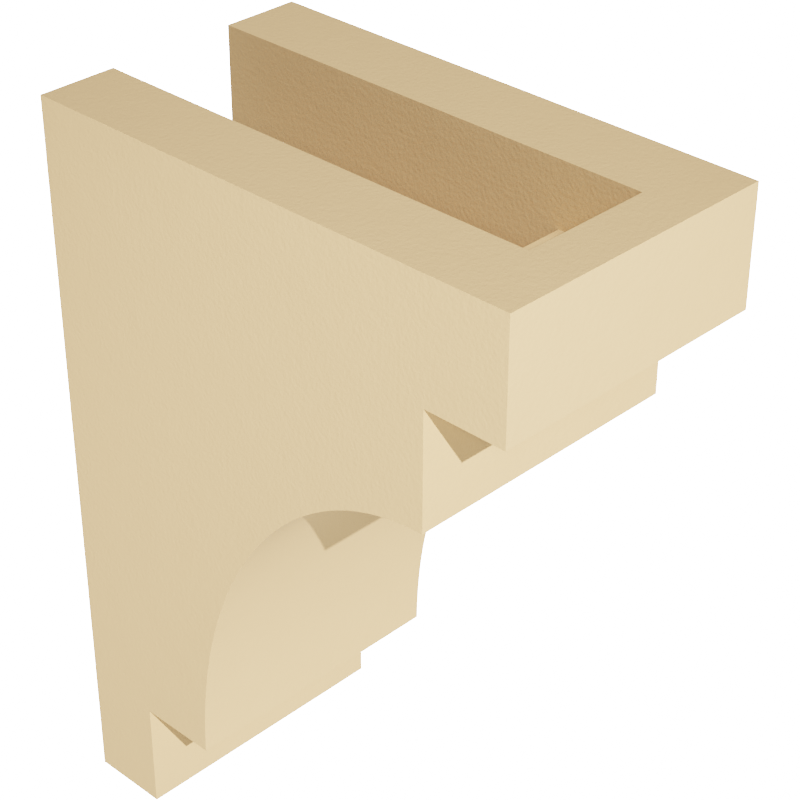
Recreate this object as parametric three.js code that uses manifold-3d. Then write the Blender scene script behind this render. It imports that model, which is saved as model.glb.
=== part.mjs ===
// A moulded corbel for a beam end or an eave: a U-shaped hollow block, open at its top and at its back.
// Its front steps back twice, sweeps in through a hollow quarter-ellipse and ends in a small bottom step.
// Millimetres, +Z up, X across, +Y into the wall. The wall plane is Y = 0.
import * as THREE from "three";
import { mergeVertices } from "three/addons/utils/BufferGeometryUtils.js";
import Module from "manifold-3d";

// Driving dimensions
const INCH = 25.4;
const WIDTH = 5.5 * INCH;
const DEPTH = 10 * INCH;
const HEIGHT = 14 * INCH;
const SIDE_WALL = 1.5 * INCH;
const SHELL = 1 * INCH; // thickness of the front, the cove and the floor
const STEP_SHARE = 5 / 32; // each step takes this share of the depth and of the height

// Fineness and clearances
const COVE_SIDES = 64;
const OVERRUN = 10; // how far the cutter runs past the open top and back
const ROOT_SEARCH_STEPS = 40;

// Surface: tan primed foam, matt
const TAN = 0xd9c79f;
const TAN_ROUGHNESS = 0.85;

// The profile is drawn in (out, up): out from the wall, up from the underside.
const STEP_OUT = STEP_SHARE * DEPTH;
const STEP_UP = STEP_SHARE * HEIGHT;
const BLOCK_OUT = DEPTH - STEP_OUT; // front of the second block
const BLOCK_UNDERSIDE = HEIGHT - 2 * STEP_UP;
const COVE_OUT = 2 * STEP_OUT; // foot of the cove

// The cove is a quarter of an ellipse with its centre in front of its foot and below its crown.
const cove = {
  out: BLOCK_OUT,
  up: STEP_UP,
  radiusOut: BLOCK_OUT - COVE_OUT,
  radiusUp: BLOCK_UNDERSIDE - STEP_UP,
};

const wasm = await Module();
wasm.setup();

// A three.js geometry as a solid
function solidFrom(geometry) {
  const bare = geometry.clone();
  bare.deleteAttribute("normal");
  bare.deleteAttribute("uv");
  const merged = mergeVertices(bare);
  return new wasm.Manifold(
    new wasm.Mesh({
      numProp: 3,
      vertProperties: merged.attributes.position.array,
      triVerts: new Uint32Array(merged.index.array),
    }),
  );
}

// A solid as a three.js geometry with flat faces
function geometryFrom(solid) {
  const mesh = solid.getMesh();
  const indexed = new THREE.BufferGeometry();
  indexed.setAttribute("position", new THREE.BufferAttribute(mesh.vertProperties, 3));
  indexed.setIndex(new THREE.BufferAttribute(mesh.triVerts, 1));
  const geometry = indexed.toNonIndexed();
  geometry.computeVertexNormals();
  return geometry;
}

// The angle between low and high at which a rising function of it reaches the value
function angleWhere(rising, value, low, high) {
  for (let i = 0; i < ROOT_SEARCH_STEPS; i += 1) {
    const middle = (low + high) / 2;
    if (rising(middle) < value) low = middle;
    else high = middle;
  }
  return low;
}

// The curve that runs one shell thickness behind the cove. The angle is 0 at the foot and 90 degrees at the crown.
function behindCove(angle) {
  const towardsWall = Math.cos(angle);
  const towardsTop = Math.sin(angle);
  const normal = new THREE.Vector2(-towardsWall / cove.radiusOut, towardsTop / cove.radiusUp);
  normal.normalize();
  return new THREE.Vector2(
    cove.out - cove.radiusOut * towardsWall + SHELL * normal.x,
    cove.up + cove.radiusUp * towardsTop + SHELL * normal.y,
  );
}

// Outline of the whole block, from the foot of the wall forwards and up to the top
function outerProfile() {
  const shape = new THREE.Shape();
  shape.moveTo(0, 0);
  shape.lineTo(STEP_OUT, 0);
  shape.lineTo(STEP_OUT, STEP_UP);
  shape.lineTo(COVE_OUT, STEP_UP);
  shape.absellipse(cove.out, cove.up, cove.radiusOut, cove.radiusUp, Math.PI, Math.PI / 2, true);
  shape.lineTo(BLOCK_OUT, HEIGHT - STEP_UP);
  shape.lineTo(DEPTH, HEIGHT - STEP_UP);
  shape.lineTo(DEPTH, HEIGHT);
  shape.lineTo(0, HEIGHT);
  return shape;
}

// Outline of the hollow: the front outline moved in by the shell, and open past the wall plane and the top
function hollowProfile() {
  const shape = new THREE.Shape();
  shape.moveTo(-OVERRUN, SHELL);
  shape.lineTo(STEP_OUT - SHELL, SHELL);
  shape.lineTo(STEP_OUT - SHELL, STEP_UP + SHELL);
  const foot = angleWhere((angle) => behindCove(angle).y, STEP_UP + SHELL, 0, Math.PI / 2);
  const crown = angleWhere((angle) => behindCove(angle).x, BLOCK_OUT - SHELL, 0, Math.PI / 2);
  for (let i = 0; i <= COVE_SIDES; i += 1) {
    const point = behindCove(THREE.MathUtils.lerp(foot, crown, i / COVE_SIDES));
    shape.lineTo(point.x, point.y);
  }
  shape.lineTo(BLOCK_OUT - SHELL, HEIGHT - STEP_UP + SHELL);
  shape.lineTo(DEPTH - SHELL, HEIGHT - STEP_UP + SHELL);
  shape.lineTo(DEPTH - SHELL, HEIGHT + OVERRUN);
  shape.lineTo(-OVERRUN, HEIGHT + OVERRUN);
  return shape;
}

// A profile drawn out across the width, centred on it
function acrossWidth(profile, width) {
  const geometry = new THREE.ExtrudeGeometry(profile, {
    depth: width,
    bevelEnabled: false,
    curveSegments: COVE_SIDES / 2,
  });
  geometry.translate(0, 0, -width / 2);
  return geometry;
}

const block = solidFrom(acrossWidth(outerProfile(), WIDTH));
const hollow = solidFrom(acrossWidth(hollowProfile(), WIDTH - 2 * SIDE_WALL));

const corbel = new THREE.Mesh(
  geometryFrom(block.subtract(hollow)),
  new THREE.MeshStandardMaterial({ color: TAN, roughness: TAN_ROUGHNESS, metalness: 0 }),
);
corbel.name = "corbel";

// Out of the wall is -Y, up is +Z, and the origin is in the middle of the floor's back edge.
const outwards = new THREE.Vector3(0, -1, 0);
const upwards = new THREE.Vector3(0, 0, 1);
const sideways = new THREE.Vector3().crossVectors(outwards, upwards);
corbel.quaternion.setFromRotationMatrix(new THREE.Matrix4().makeBasis(outwards, upwards, sideways));
corbel.position.set(0, 0, -SHELL / 2);

const part = new THREE.Group();
part.add(corbel);
export default part;
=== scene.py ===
import math

import bmesh
import bpy
from mathutils import Matrix, Vector, noise


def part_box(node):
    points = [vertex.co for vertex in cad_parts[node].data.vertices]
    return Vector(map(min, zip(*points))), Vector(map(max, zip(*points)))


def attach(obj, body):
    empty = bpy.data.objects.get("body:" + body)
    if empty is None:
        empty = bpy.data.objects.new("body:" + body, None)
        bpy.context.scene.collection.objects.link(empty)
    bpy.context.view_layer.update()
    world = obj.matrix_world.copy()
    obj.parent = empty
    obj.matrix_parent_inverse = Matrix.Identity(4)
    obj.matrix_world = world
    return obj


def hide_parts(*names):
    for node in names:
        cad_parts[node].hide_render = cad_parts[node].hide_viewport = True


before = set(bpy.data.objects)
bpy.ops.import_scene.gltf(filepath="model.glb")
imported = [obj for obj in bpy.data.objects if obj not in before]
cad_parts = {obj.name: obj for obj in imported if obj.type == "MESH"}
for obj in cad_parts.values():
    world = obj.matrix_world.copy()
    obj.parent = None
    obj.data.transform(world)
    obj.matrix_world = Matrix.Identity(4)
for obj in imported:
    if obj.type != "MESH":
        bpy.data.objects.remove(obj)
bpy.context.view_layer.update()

MM = 0.001

# The block, worked out from the frame. Its profile is drawn in (out, up): out from the wall plane and
# up from the underside.
LOW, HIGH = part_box("corbel")
DEPTH = -LOW[1]
HEIGHT = HIGH[2] - LOW[2]
HALF_WIDTH = HIGH[0]
SIDE_WALL = 38.1 * MM
SHELL = 25.4 * MM
HALF_SLOT = HALF_WIDTH - SIDE_WALL
STEP_SHARE = 5 / 32
STEP_OUT = STEP_SHARE * DEPTH
STEP_UP = STEP_SHARE * HEIGHT
BLOCK_OUT = DEPTH - STEP_OUT
BLOCK_UNDERSIDE = HEIGHT - 2 * STEP_UP
COVE_OUT = 2 * STEP_OUT
COVE_RADIUS_OUT = BLOCK_OUT - COVE_OUT
COVE_RADIUS_UP = BLOCK_UNDERSIDE - STEP_UP

# Fineness of the mesh
COVE_SIDES = 96
ROOT_SEARCH_STEPS = 40
EDGE_ROUND = 0.12 * MM
EDGE_SEGMENTS = 2
CIRCULAR = 0.5
SHARP_ANGLE = math.radians(30)
CELL = 2.3 * MM
SAME_PLACE = 0.001 * MM
AXIS_TOLERANCE = 1e-4
FACE_AREA_WEIGHT = 90

# The cast surface: broad, shallow waves in the mesh, finer grain in the material
WAVES = ((24 * MM, 0.10 * MM), (11 * MM, 0.05 * MM))

# Camera: where it stands in the frame, where it looks, and how far the middle of the picture is lowered,
# in pixels
CAMERA_AT = (-0.5505, -0.6685, 0.7056)
CAMERA_AZIMUTH = math.radians(45.89)
CAMERA_DOWN = math.radians(33.38)
CAMERA_ROLL = math.radians(0.113)
SENSOR = 36.0
IMAGE_WIDTH = 800
FOCAL_PIXELS = 2174.8
CENTRE_LOWERED = 50

# Lights. The spotlights aim at the middle of the block and have soft-edged beams. The key light stands
# left of the front, and a thin cloth flag keeps most of it off the top and out of the slot. The fill light
# stands where the camera does. The overhead light is broad and straight above. Each soft light comes from
# a direction, with a strength. The key light is faintly pink, and the others are faintly green or blue, as
# the photo's lit and shaded faces show.
AIM = (Vector(LOW) + Vector(HIGH)) / 2
KEY_LEFT = math.radians(28.0)
KEY_HEIGHT = math.radians(36.6)
KEY_DISTANCE = 6.0
KEY_STRENGTH = 3.05
KEY_COLOUR = (1, 0.972, 0.995)
KEY_RADIUS = 0.026
KEY_BEAM = math.radians(4.0)
FILL_AT = Vector(CAMERA_AT)
FILL_STRENGTH = 0.33
FILL_RADIUS = 0.05
FILL_BEAM = math.radians(16.75)
FLAG_GAP = 0.05 * MM
FLAG_LETS_THROUGH = 0.31
OVERHEAD_STRENGTH = 2.69
OVERHEAD_COLOUR = (0.985, 1, 1.02)
OVERHEAD_ANGLE = math.radians(36)
SOFT_COLOUR = (0.98, 1, 0.98)
SOFT_NARROWING = 4.0
SOFT_LIGHTS = (
    ((0, 1, 0), 0.7),
    ((0, 1, -1), 0.8),
    ((1, 0, -1), 2.1),
    ((-1, 0, -1), 1.0),
    ((-1, -1, -1), 2.4),
)
BACKGROUND_WHITE = 20.0
WHITE = (1, 1, 1, 1)
FLOOR_DROP = 1.3
FLOOR_SIZE = 30.0

# Surface colour, gloss and grain. The outside has a smooth moulding skin, the hollow is coarser, and the
# top and the back, which no mould wall touches, are coarser still.
FOAM_COLOUR = (0.661, 0.405, 0.184, 1)
FOAM_COLOUR_DEEP = (0.646, 0.392, 0.176, 1)
FOAM_SPECULAR = 0.2
GLOSSIEST = 0.8
DULLEST = 0.95
MOTTLE = 18 * MM
MOTTLE_DETAIL = 4.0
FINE_GRAIN = 1.9 * MM
BROAD_GRAIN = 5.0 * MM
BROAD_SHARE = 0.5
GRAIN_DETAIL = 1.0
NOISE_ROUGHNESS = 0.5
SKIN, HOLLOW, OPEN = range(3)
SURFACES = (("skin_foam", 0.12 * MM), ("hollow_foam", 0.23 * MM), ("open_foam", 0.32 * MM))

# The colour sockets of a mix node, which are known by number alone
MIX_SHARE = 0
MIX_FIRST = 6
MIX_SECOND = 7
MIX_RESULT = 2


def add_object(name, data):
    added = bpy.data.objects.new(name, data)
    bpy.context.collection.objects.link(added)
    return added


def place(x, out, up):
    return Vector((x, -out, LOW[2] + up))


def cove_point(angle, behind=0.0):
    """The point at an angle of the cove, 0 at its foot and a right angle at its crown, or one behind it."""
    normal = Vector((-math.cos(angle) / COVE_RADIUS_OUT, math.sin(angle) / COVE_RADIUS_UP)).normalized()
    out = BLOCK_OUT - COVE_RADIUS_OUT * math.cos(angle) + behind * normal.x
    up = STEP_UP + COVE_RADIUS_UP * math.sin(angle) + behind * normal.y
    return out, up


def angle_where(rising, value):
    """The angle at which a rising function of it reaches the value."""
    low, high = 0.0, math.pi / 2
    for _ in range(ROOT_SEARCH_STEPS):
        middle = (low + high) / 2
        if rising(middle) < value:
            low = middle
        else:
            high = middle
    return low


def cove_points(foot, crown, behind=0.0):
    steps = range(COVE_SIDES + 1)
    return [cove_point(foot + (crown - foot) * i / COVE_SIDES, behind) for i in steps]


def outer_profile():
    """From the foot of the wall forwards and up. The last two sides, the top and the back, close it."""
    foot = [(0, 0), (STEP_OUT, 0), (STEP_OUT, STEP_UP)]
    steps = [
        (BLOCK_OUT, HEIGHT - STEP_UP),
        (DEPTH, HEIGHT - STEP_UP),
        (DEPTH, HEIGHT),
        (0, HEIGHT),
    ]
    return foot + cove_points(0, math.pi / 2) + steps


def hollow_profile():
    """The front outline moved in by the shell. The last two sides are the open top and the open back."""
    floor = [(0, SHELL), (STEP_OUT - SHELL, SHELL), (STEP_OUT - SHELL, STEP_UP + SHELL)]
    foot = angle_where(lambda angle: cove_point(angle, SHELL)[1], STEP_UP + SHELL)
    crown = angle_where(lambda angle: cove_point(angle, SHELL)[0], BLOCK_OUT - SHELL)
    steps = [
        (BLOCK_OUT - SHELL, HEIGHT - STEP_UP + SHELL),
        (DEPTH - SHELL, HEIGHT - STEP_UP + SHELL),
        (DEPTH - SHELL, HEIGHT),
        (0, HEIGHT),
    ]
    return floor + cove_points(foot, crown, SHELL) + steps


def add_face(mesh, verts, surface):
    mesh.faces.new(verts).material_index = surface


def add_sides(mesh, profile, half_width, surface):
    """Both flat sides of a profile, and the strips between them except at the top and the back."""
    left = [mesh.verts.new(place(-half_width, *point)) for point in profile]
    right = [mesh.verts.new(place(half_width, *point)) for point in profile]
    add_face(mesh, left, surface)
    add_face(mesh, right, surface)
    for i in range(len(profile) - 2):
        add_face(mesh, (left[i], left[i + 1], right[i + 1], right[i]), surface)
    return left, right


def block_mesh():
    mesh = bmesh.new()
    left, right = add_sides(mesh, outer_profile(), HALF_WIDTH, SKIN)
    inner_left, inner_right = add_sides(mesh, hollow_profile(), HALF_SLOT, HOLLOW)
    around_top = (left[-1], left[-2], right[-2], right[-1])
    inside_top = (inner_right[-1], inner_right[-2], inner_left[-2], inner_left[-1])
    add_face(mesh, around_top + inside_top, OPEN)
    around_back = (left[-1], left[0], right[0], right[-1])
    inside_back = (inner_right[-1], inner_right[0], inner_left[0], inner_left[-1])
    add_face(mesh, around_back + inside_back, OPEN)
    bmesh.ops.recalc_face_normals(mesh, faces=mesh.faces)
    return mesh


def round_edges(mesh):
    """Rounds the outer edges slightly. The inner corners stay sharp, as in a mould."""
    outer = [edge for edge in mesh.edges if edge.is_convex and edge.calc_face_angle() > SHARP_ANGLE]
    bmesh.ops.bevel(
        mesh,
        geom=outer,
        offset=EDGE_ROUND,
        offset_type="OFFSET",
        segments=EDGE_SEGMENTS,
        profile=CIRCULAR,
        affect="EDGES",
        clamp_overlap=True,
    )


def along_an_axis(face):
    """False for a face that slants in the profile, such as a cove or the rounded edge of a step."""
    return abs(face.normal.y) < AXIS_TOLERANCE or abs(face.normal.z) < AXIS_TOLERANCE


def cut_in_cells(mesh):
    """Cuts the faces in a grid. Those that slant in the profile are cut across the width alone."""
    for axis in range(3):
        length = HIGH[axis] - LOW[axis]
        count = round(length / CELL)
        normal = Vector([float(i == axis) for i in range(3)])
        for i in range(1, count):
            faces = [face for face in mesh.faces if axis == 0 or along_an_axis(face)]
            edges = {edge for face in faces for edge in face.edges}
            verts = {vert for edge in edges for vert in edge.verts}
            point = normal * (LOW[axis] + length * i / count)
            cut = faces + list(edges) + list(verts)
            bmesh.ops.bisect_plane(mesh, geom=cut, dist=SAME_PLACE, plane_co=point, plane_no=normal)


def wave_depth(point):
    """How far the cast surface lies inside the plain form, never less than nothing."""
    depth = 0.0
    for length, height in WAVES:
        depth += height * (1 + noise.noise(point / length)) / 2
    return depth


def add_waves(mesh):
    mesh.normal_update()
    for vert in mesh.verts:
        vert.co -= vert.normal * wave_depth(vert.co)


def make_corbel():
    mesh = block_mesh()
    round_edges(mesh)
    cut_in_cells(mesh)
    add_waves(mesh)
    bmesh.ops.triangulate(mesh, faces=mesh.faces)
    for face in mesh.faces:
        face.smooth = True
    data = bpy.data.meshes.new("moulded_corbel")
    mesh.to_mesh(data)
    mesh.free()
    piece = add_object("moulded_corbel", data)
    normals = piece.modifiers.new("even_normals", "WEIGHTED_NORMAL")
    normals.weight = FACE_AREA_WEIGHT
    return piece


class Nodes:
    """Adds nodes to a tree and links them."""

    def __init__(self, owner):
        owner.use_nodes = True
        self.tree = owner.node_tree

    def add(self, kind, inputs=None, **settings):
        node = self.tree.nodes.new(kind)
        for name, value in settings.items():
            setattr(node, name, value)
        for name, value in (inputs or {}).items():
            if isinstance(value, bpy.types.NodeSocket):
                self.tree.links.new(value, node.inputs[name])
            else:
                node.inputs[name].default_value = value
        return node


def noise_at(nodes, where, length, detail):
    """Noise whose lumps are about as long as the length, in metres."""
    settings = {"Vector": where, "Scale": 1 / length, "Detail": detail, "Roughness": NOISE_ROUGHNESS}
    return nodes.add("ShaderNodeTexNoise", settings).outputs["Fac"]


def bump(nodes, height, distance, normal=None):
    """The normal of a surface whose lumps are as high as the distance, over one with another normal."""
    inputs = {"Height": height, "Distance": distance, "Strength": 1.0}
    if normal:
        inputs["Normal"] = normal
    return nodes.add("ShaderNodeBump", inputs).outputs["Normal"]


def foam_material(name, grain):
    """Tan foam with a slightly mottled colour and gloss. The grain is the height of its finest lumps."""
    material = bpy.data.materials.new(name)
    nodes = Nodes(material)
    shader = nodes.tree.nodes["Principled BSDF"]
    shader.inputs["Specular IOR Level"].default_value = FOAM_SPECULAR
    where = nodes.add("ShaderNodeTexCoord").outputs["Object"]
    mottle = noise_at(nodes, where, MOTTLE, MOTTLE_DETAIL)
    colours = {MIX_SHARE: mottle, MIX_FIRST: FOAM_COLOUR_DEEP, MIX_SECOND: FOAM_COLOUR}
    colour = nodes.add("ShaderNodeMix", colours, data_type="RGBA").outputs[MIX_RESULT]
    gloss = nodes.add("ShaderNodeMapRange", {"Value": mottle, "To Min": GLOSSIEST, "To Max": DULLEST})
    broad = noise_at(nodes, where, BROAD_GRAIN, GRAIN_DETAIL)
    fine = noise_at(nodes, where, FINE_GRAIN, GRAIN_DETAIL)
    broad_bump = bump(nodes, broad, BROAD_SHARE * grain)
    fine_bump = bump(nodes, fine, grain, broad_bump)
    nodes.tree.links.new(colour, shader.inputs["Base Color"])
    nodes.tree.links.new(gloss.outputs["Result"], shader.inputs["Roughness"])
    nodes.tree.links.new(fine_bump, shader.inputs["Normal"])
    return material


def make_camera():
    data = bpy.data.cameras.new("camera")
    data.sensor_width = SENSOR
    data.lens = FOCAL_PIXELS / IMAGE_WIDTH * SENSOR
    data.shift_y = CENTRE_LOWERED / IMAGE_WIDTH
    camera = add_object("camera", data)
    turn = Matrix.Rotation(-CAMERA_AZIMUTH, 4, "Z")
    tilt = Matrix.Rotation(math.pi / 2 - CAMERA_DOWN, 4, "X")
    roll = Matrix.Rotation(CAMERA_ROLL, 4, "Z")
    camera.matrix_world = Matrix.Translation(CAMERA_AT) @ turn @ tilt @ roll
    bpy.context.scene.camera = camera


def shade_by(light, blockers):
    """Lets only the blockers throw shadows in the light."""
    shading = bpy.data.collections.new(light.name + "_shaded_by")
    for blocker in blockers:
        shading.objects.link(blocker)
    light.light_linking.blocker_collection = shading


def make_spot(name, at, strength, colour, radius, beam, blockers):
    """A spotlight aimed at the block, whose strength is the light that falls there on a sheet facing it."""
    data = bpy.data.lights.new(name, "SPOT")
    data.energy = strength * (2 * math.pi * (at - AIM).length) ** 2
    data.color = colour
    data.shadow_soft_size = radius
    data.spot_size = 2 * beam
    data.spot_blend = 1.0
    spot = add_object(name, data)
    spot.location = at
    spot.rotation_euler = (at - AIM).to_track_quat("Z", "Y").to_euler()
    spot.visible_camera = False
    shade_by(spot, blockers)


def make_spots(piece, flag):
    across = -math.sin(KEY_LEFT) * math.cos(KEY_HEIGHT)
    forward = -math.cos(KEY_LEFT) * math.cos(KEY_HEIGHT)
    key_at = AIM + KEY_DISTANCE * Vector((across, forward, math.sin(KEY_HEIGHT)))
    make_spot("key", key_at, KEY_STRENGTH, KEY_COLOUR, KEY_RADIUS, KEY_BEAM, [piece, flag])
    make_spot("fill", FILL_AT, FILL_STRENGTH, SOFT_COLOUR, FILL_RADIUS, FILL_BEAM, [piece])


def make_overhead(piece):
    """A broad light straight above. A sun lamp points straight down as it is made."""
    data = bpy.data.lights.new("overhead", "SUN")
    data.energy = OVERHEAD_STRENGTH
    data.color = OVERHEAD_COLOUR
    data.angle = OVERHEAD_ANGLE
    shade_by(add_object("overhead", data), [piece])


def flat_sheet(name, low, high, height):
    corners = ((low[0], low[1]), (high[0], low[1]), (high[0], high[1]), (low[0], high[1]))
    data = bpy.data.meshes.new(name)
    data.from_pydata([(*corner, height) for corner in corners], [], [(0, 1, 2, 3)])
    sheet = add_object(name, data)
    return sheet


def make_flag():
    """A sheet just over the top that shades the key light alone, and isn't seen."""
    flag = flat_sheet("flag", LOW, HIGH, HIGH[2] + FLAG_GAP)
    flag.visible_camera = False
    flag.visible_diffuse = False
    flag.visible_glossy = False
    flag.visible_transmission = False
    material = bpy.data.materials.new("thin_cloth")
    nodes = Nodes(material)
    nodes.tree.nodes.clear()
    through = (FLAG_LETS_THROUGH, FLAG_LETS_THROUGH, FLAG_LETS_THROUGH, 1)
    cloth = nodes.add("ShaderNodeBsdfTransparent", {"Color": through})
    nodes.add("ShaderNodeOutputMaterial", {"Surface": cloth.outputs[0]})
    flag.data.materials.append(material)
    return flag


def make_floor():
    """A white floor well below the corbel, which hangs on a wall. The world gives the light from below."""
    half = FLOOR_SIZE / 2
    floor = flat_sheet("floor", (-half, -half), (half, half), LOW[2] - FLOOR_DROP)
    floor.visible_diffuse = False
    floor.visible_glossy = False
    floor.visible_shadow = False
    material = bpy.data.materials.new("white_floor")
    material.cycles.emission_sampling = "NONE"
    nodes = Nodes(material)
    nodes.tree.nodes.clear()
    white = nodes.add("ShaderNodeEmission", {"Color": WHITE, "Strength": BACKGROUND_WHITE})
    nodes.add("ShaderNodeOutputMaterial", {"Surface": white.outputs[0]})
    floor.data.materials.append(material)


def soft_light(nodes, towards, direction, strength):
    """A soft light in the sky: strongest in its direction and nothing at a right angle to it."""
    unit = Vector(direction).normalized()
    dot = nodes.add("ShaderNodeVectorMath", {0: towards, 1: unit}, operation="DOT_PRODUCT").outputs["Value"]
    facing = nodes.add("ShaderNodeMath", {0: dot, 1: 0.0}, operation="MAXIMUM").outputs[0]
    narrowed = nodes.add("ShaderNodeMath", {0: facing, 1: SOFT_NARROWING}, operation="POWER").outputs[0]
    return nodes.add("ShaderNodeMath", {0: narrowed, 1: strength}, operation="MULTIPLY").outputs[0]


def make_world():
    """White where the camera sees it. The light that it gives is the sum of the soft lights."""
    world = bpy.data.worlds.new("studio")
    world.cycles.sampling_method = "NONE"
    nodes = Nodes(world)
    nodes.tree.nodes.clear()
    towards = nodes.add("ShaderNodeTexCoord").outputs["Generated"]
    total = 0.0
    for light in SOFT_LIGHTS:
        lit = soft_light(nodes, towards, *light)
        total = nodes.add("ShaderNodeMath", {0: total, 1: lit}, operation="ADD").outputs[0]
    seen = nodes.add("ShaderNodeBackground", {"Color": WHITE, "Strength": BACKGROUND_WHITE}).outputs[0]
    given = nodes.add("ShaderNodeBackground", {"Color": (*SOFT_COLOUR, 1), "Strength": total}).outputs[0]
    direct = nodes.add("ShaderNodeLightPath").outputs["Is Camera Ray"]
    mix = nodes.add("ShaderNodeMixShader", {"Fac": direct, 1: given, 2: seen})
    nodes.add("ShaderNodeOutputWorld", {"Surface": mix.outputs["Shader"]})
    bpy.context.scene.world = world


make_camera()
corbel = make_corbel()
for surface in SURFACES:
    corbel.data.materials.append(foam_material(*surface))
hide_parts("corbel")
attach(corbel, "root")
make_spots(corbel, make_flag())
make_overhead(corbel)
make_world()
make_floor()
bpy.context.scene.view_settings.view_transform = "Filmic"
bpy.context.scene.view_settings.look = "None"
